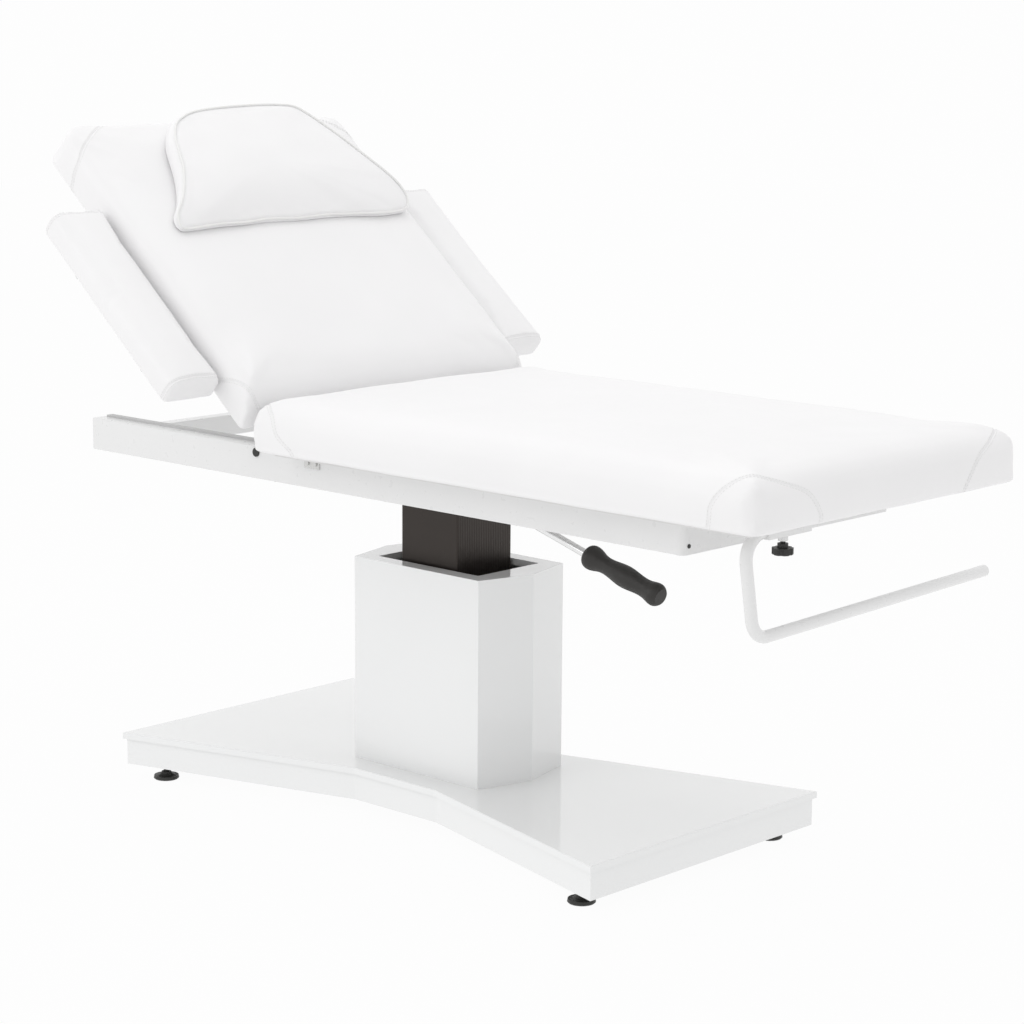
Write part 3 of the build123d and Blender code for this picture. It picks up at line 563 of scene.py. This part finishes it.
def sew(obj, lines):
    """Presses each seam line into the pad, and returns the thread's stitches beside it as one mesh."""
    mesh = obj.data
    tree = BVHTree.FromPolygons([v.co for v in mesh.vertices], [p.vertices for p in mesh.polygons])
    seams = [laid_on(tree, curve_through(line, SEAM_STEP)) for line in lines]
    samples = [p for seam in seams for p, _ in seam]
    stored = KDTree(len(samples))
    for k, p in enumerate(samples):
        stored.insert(p, k)
    stored.balance()
    low, high = np.min(samples, axis=0) - 0.03, np.max(samples, axis=0) + 0.03
    low[1], inner = -1.0, np.abs(np.array(samples)[:, 1]).min() - 0.02

    def distance(points):
        inside = ((points > low) & (points < high)).all(1) & (np.abs(points[:, 1]) > inner)
        out = np.full(len(points), 1.0)
        for k in np.nonzero(inside)[0]:
            out[k] = stored.find(points[k])[2]
        return out

    bm = bmesh.new()
    bm.from_mesh(mesh)
    near = distance(np.array([tuple(v.co) for v in bm.verts])) < 0.008
    edges = [e for e in bm.edges if near[e.verts[0].index] and near[e.verts[1].index]]
    bmesh.ops.subdivide_edges(bm, edges=edges, cuts=2, use_grid_fill=True)
    bmesh.ops.triangulate(bm, faces=[f for f in bm.faces if len(f.verts) > 4])
    bm.to_mesh(mesh)
    bm.free()
    mesh.update()
    points, normals = coordinates(mesh), vertex_normals(mesh)
    gap = distance(points)
    groove = -SEAM_DEPTH * np.exp(-((gap / SEAM_WIDTH) ** 2))
    swelling = SWELLING * np.exp(-(((gap - 0.006) / 0.003) ** 2))
    move = groove + swelling
    move_to(mesh, points + normals * np.where(gap < 0.02, move, 0)[:, None])
    tree = BVHTree.FromPolygons([v.co for v in mesh.vertices], [p.vertices for p in mesh.polygons])
    stitches = []
    for seam in seams:
        for row in (-ROW_OFFSET, ROW_OFFSET):
            beside = []
            for k, (p, n) in enumerate(seam):
                ahead = seam[min(k + 1, len(seam) - 1)][0] - seam[max(k - 1, 0)][0]
                beside.append(p + n.cross(ahead).normalized() * row)
            for k in range(0, len(seam) - POINTS_PER_STITCH + 1, POINTS_PER_STITCH):
                stitches.append(laid_on(tree, beside[k : k + POINTS_PER_STITCH], THREAD_LIFT))
    return tube_mesh(stitches, THREAD_RADIUS)


def finish_soft(obj, name, body, node, place):
    shade_smooth(obj.data)
    obj.data.transform(place)
    obj.name = name
    obj.data.materials.clear()
    obj.data.materials.append(WHITE_LEATHER)
    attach(obj, body)
    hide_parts(node)


def finish_trim(mesh, name, body, place, material):
    mesh.transform(place)
    mesh.materials.append(material)
    obj = linked(name, mesh)
    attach(obj, body)


THREAD = plastic("thread", (0.79, 0.79, 0.78), 0.6, 3000, 0.00005)
PIPING = leather("piping_leather", (0.84, 0.84, 0.83))


def mirrored(line):
    return [(x, -y, z) for x, y, z in line]


def make_pad(name, body, node, place, outlines, voxel, seams, seed):
    """One upholstered pad from its side, end and plan outlines, sewn along its seams."""
    profile, section, plan = (rounded(outline) for outline in outlines)
    prisms = [prism(profile, 1, -0.6, 0.6), prism(section, 0, -0.3, 1.1), prism(plan, 2, -0.2, 1.0)]
    low, high = (
        np.array([pick(p[0] for p in profile), pick(p[0] for p in section), pick(p[1] for p in profile)])
        for pick in (min, max)
    )
    obj = common("pad", prisms, voxel * (1), 5)
    inflate(obj, low[2])
    ease(obj, low[2], seed)
    fit(obj, low, high)
    subdivided(obj)
    thread = sew(obj, seams)
    finish_soft(obj, name, body, node, place)
    finish_trim(thread, name + "_stitching", body, place, THREAD)


def both_sides(corners, crown):
    """A section across the pad from one side's corners, bottom first, and the height of its middle."""
    other = [(-y, z, r) for y, z, r in reversed(corners)]
    return [other[-1], *corners, (0, crown, 0), *other[:-1]]


def plan_outline(start, end, half, start_radius, end_radius):
    return [
        (start, -half, start_radius),
        (end, -half, end_radius),
        (end, half, end_radius),
        (start, half, start_radius),
    ]


PLAN_MARGIN = 0.002  # the plan only rounds the corners, so it stands clear of the other outlines


# ------------------------------------------------------------------ seat, backrest and armrests
def make_seat():
    start, end = -0.16, 0.953
    bottom, crown = 0.6785, 0.783
    half = 0.357
    profile = [(start, bottom, 0.008), (end, bottom, 0.02), (end, crown - 0.004, 0.052)]
    profile += [(0.3, crown - 0.0005, 0), (start, crown - 0.001, 0.04)]
    side = [(half - 0.011, bottom, 0.014), (half, bottom + 0.0375, 0.06)]
    side += [(half - 0.012, crown - 0.004, 0.05)]
    section = both_sides(side, crown + 0.0002)
    plan = plan_outline(start - PLAN_MARGIN, end + PLAN_MARGIN, half + PLAN_MARGIN, 0.012, 0.054)
    head = [(-0.058, -0.352, 0.682), (-0.064, -0.356, 0.694), (-0.092, -0.357, 0.718)]
    head += [(-0.107, -0.354, 0.744), (-0.124, -0.346, 0.762), (-0.142, -0.33, 0.768)]
    head += [(-0.157, -0.31, 0.752), (-0.162, -0.292, 0.72), (-0.162, -0.284, 0.684)]
    foot = [(0.856, -0.352, 0.682), (0.862, -0.356, 0.7), (0.867, -0.356, 0.722), (0.885, -0.35, 0.75)]
    foot += [(0.905, -0.335, 0.768), (0.928, -0.31, 0.771), (0.946, -0.27, 0.757), (0.952, -0.225, 0.734)]
    foot += [(0.952, -0.196, 0.7), (0.95, -0.19, 0.68)]
    seams = [head, mirrored(head), foot, mirrored(foot)]
    outlines = (profile, section, plan)
    make_pad("seat_pad", "lift_frame", "seat_cushion", SEAT_FRAME, outlines, 0.0095, seams, 11)


def make_backrest():
    start, end = 0.0025, 0.715
    bottom, crown = -0.045, 0.0445
    half = 0.3562
    profile = [(start, bottom, 0.012), (end, bottom, 0.018), (end, crown - 0.001, 0.03), (0.36, crown, 0)]
    profile += [(start, crown - 0.0035, 0.066)]
    side = [(half - 0.0082, bottom, 0.014), (half, bottom + 0.041, 0.07)]
    side += [(half - 0.0082, crown - 0.003, 0.026)]
    section = both_sides(side, crown)
    plan = plan_outline(start - PLAN_MARGIN - 0.0005, end + PLAN_MARGIN, half + 0.0028, 0.012, 0.08)
    low = [(0.108, -0.352, -0.043), (0.1, -0.356, -0.018), (0.084, -0.355, 0.004), (0.062, -0.35, 0.02)]
    low += [(0.038, -0.343, 0.026), (0.018, -0.333, 0.014), (0.006, -0.32, -0.008), (0.002, -0.312, -0.043)]
    high = [(0.602, -0.354, -0.043), (0.607, -0.357, -0.033), (0.616, -0.357, -0.011)]
    high += [(0.6235, -0.355, 0.017), (0.638, -0.343, 0.034), (0.661, -0.314, 0.042)]
    high += [(0.689, -0.277, 0.04), (0.706, -0.253, 0.028), (0.714, -0.242, 0.0), (0.714, -0.238, -0.043)]
    seams = [low, mirrored(low), high, mirrored(high)]
    outlines = (profile, section, plan)
    make_pad("backrest_pad", "backrest", "backrest_cushion", BACK_FRAME, outlines, 0.008, seams, 23)


def make_armrest(name, side, seed):
    start, end = 0.084, 0.514
    inner, outer = 0.359, 0.4765
    bottom, top = -0.045, 0.0165
    profile = [(start, bottom, 0.008), (end, bottom, 0.006), (end, top, 0.01), (start, top, 0.014)]
    section = [(inner, bottom, 0.006), (outer - 0.004, bottom, 0.01), (outer, -0.012, 0.04)]
    section += [(outer - 0.005, top - 0.002, 0.022), ((inner + outer) / 2, top + 0.0005, 0)]
    section += [(inner + 0.001, top - 0.001, 0.01), (inner - 0.0005, -0.01, 0)]
    head, foot = start - PLAN_MARGIN, end + PLAN_MARGIN
    plan = [(head, inner - PLAN_MARGIN, 0.008), (foot, inner - PLAN_MARGIN, 0.008)]
    plan += [(foot, outer + PLAN_MARGIN, 0.014), (head, outer + PLAN_MARGIN, 0.014)]
    if side < 0:
        section = [(-y, z, r) for y, z, r in reversed(section)]
        plan = [(x, -y, r) for x, y, r in reversed(plan)]
    across = [(inner, -0.04), (inner, 0.002), (inner + 0.02, 0.015), (outer - 0.03, 0.015)]
    across += [(outer - 0.003, 0.0), (outer, -0.038)]
    seams = [[(along, side * y, z) for y, z in across] for along in (start + 0.009, end - 0.009)]
    node, body = f"armrest_cushion_{name}", f"armrest_{name}"
    outlines = (profile, section, plan)
    make_pad(f"armrest_pad_{name}", body, node, BACK_FRAME, outlines, 0.006, seams, seed)


# ------------------------------------------------------------------ pillow
PILLOW_BASE = 0.0446  # out of the backrest's face
PIPING_LOOP = [  # along the backrest, across it, and out of its face
    (0.408, -0.266, 0.053), (0.433, -0.265, 0.062), (0.462, -0.24, 0.071), (0.495, -0.217, 0.076),
    (0.533, -0.196, 0.08), (0.575, -0.18, 0.081), (0.613, -0.163, 0.08), (0.648, -0.137, 0.08),
    (0.668, -0.105, 0.079), (0.68, -0.07, 0.079), (0.688, -0.005, 0.079), (0.692, 0.08, 0.079),
    (0.691, 0.145, 0.079), (0.684, 0.182, 0.08), (0.664, 0.204, 0.08), (0.607, 0.237, 0.081),
    (0.533, 0.275, 0.08), (0.49, 0.299, 0.077), (0.462, 0.317, 0.069), (0.437, 0.322, 0.061),
    (0.418, 0.31, 0.055), (0.411, 0.284, 0.052), (0.409, 0.23, 0.053), (0.413, 0.16, 0.0515),
    (0.414, 0.09, 0.053), (0.412, 0.02, 0.0515), (0.414, -0.05, 0.053), (0.411, -0.11, 0.0515),
    (0.41, -0.175, 0.053), (0.406, -0.235, 0.052),
]
PIPING_RADIUS = 0.0021


def closed_curve(points, count):
    """Evenly spaced points on a smooth closed line through the given ones."""
    pts = np.array(points)
    dense = []
    for k in range(len(pts)):
        a, b, c, d = (pts[(k + m) % len(pts)] for m in (-1, 0, 1, 2))
        dense += [spline_point(a, b, c, d, t) for t in np.linspace(0, 1, 24, endpoint=False)]
    dense = np.array(dense + dense[:1])
    run = np.concatenate([[0], np.cumsum(np.linalg.norm(np.diff(dense, axis=0), axis=1))])
    at = np.linspace(0, run[-1], count, endpoint=False)
    return np.stack([np.interp(at, run, column) for column in dense.T], 1)


def pillow_rows(loop, centre):
    """Rings of points: the top panel from the piping inwards, and the gusset and underside below it."""
    top_rings, gusset_rings, under_rings, dome = 70, 12, 8, 0.022
    mean = loop[:, 2].mean()
    top = []
    for k in range(top_rings + 1):
        t = k / top_rings
        ring = loop * (1 - t) + centre * t
        ring[:, 2] = mean + (loop[:, 2] - mean) * (1 - t) ** 2 + dome * (1 - (1 - t) ** 2)
        top.append(ring)
    outward = loop[:, :2] - centre[:2]
    outward /= np.linalg.norm(outward, axis=1, keepdims=True)
    height = (loop[:, 2] - PILLOW_BASE)[:, None]
    below = []
    for k in range(1, gusset_rings + 1):
        t = k / gusset_rings
        bulge = 0.007 * math.sin(math.pi * t**0.8) + 0.004 * min(t, 6 * (1 - t))
        ring = loop.copy()
        ring[:, :2] += outward * bulge * np.minimum(height / 0.03, 1)
        ring[:, 2] = loop[:, 2] * (1 - t) + PILLOW_BASE * t
        below.append(ring)
    hem = below[-1]
    for k in range(1, under_rings + 1):
        t = k / under_rings
        below.append(hem * (1 - t) + np.array([centre[0], centre[1], PILLOW_BASE]) * t)
    return top, below


def make_pillow():
    around = 560
    loop = closed_curve(PIPING_LOOP, around)
    top, below = pillow_rows(loop, np.array([0.53, 0.012, 0.085]))
    rows = below[-2::-1] + top[:-1]
    points = np.concatenate(rows + [below[-1][:1], top[-1][:1]])
    faces = []
    for r in range(len(rows) - 1):
        for k in range(around):
            n = (k + 1) % around
            faces.append((r * around + k, r * around + n, (r + 1) * around + n, (r + 1) * around + k))
    low_tip, high_tip = len(points) - 2, len(points) - 1
    last = (len(rows) - 1) * around
    faces += [(low_tip, (k + 1) % around, k) for k in range(around)]
    faces += [(high_tip, last + k, last + (k + 1) % around) for k in range(around)]
    mesh = outward_mesh("pillow_pad", points.tolist(), faces)
    points, normals = coordinates(mesh), vertex_normals(mesh)
    gap = np.full(len(points), 1.0)
    for chunk in np.array_split(np.arange(len(points)), 24):
        gap[chunk] = np.linalg.norm(points[chunk][:, None] - loop[None], axis=2).min(1)
    high = points[:, 2] > PILLOW_BASE + 0.004
    folds = waves(points, 9, 41) * 0.0009 + waves(points, 28, 42) * 0.0005 * np.exp(-((gap / 0.03) ** 2))
    crease = -0.0018 * np.exp(-(((gap - 0.003) / 0.0022) ** 2))
    move_to(mesh, points + normals * ((folds * np.clip(gap / 0.02, 0.2, 1) + crease) * high)[:, None])
    pillow = linked("pillow_pad", mesh)
    finish_soft(pillow, "pillow_pad", "pillow", "pillow", BACK_FRAME)
    path = [(Vector(p), Vector((0, 0, 1))) for p in loop]
    piping = tube_mesh([path], PIPING_RADIUS, 10, True)
    finish_trim(piping, "pillow_piping", "pillow", BACK_FRAME, PIPING)


make_camera()
make_stage()
dress_nodes()
make_seat()
make_backrest()
make_armrest("near", -1, 31)
make_armrest("far", 1, 37)
make_pillow()
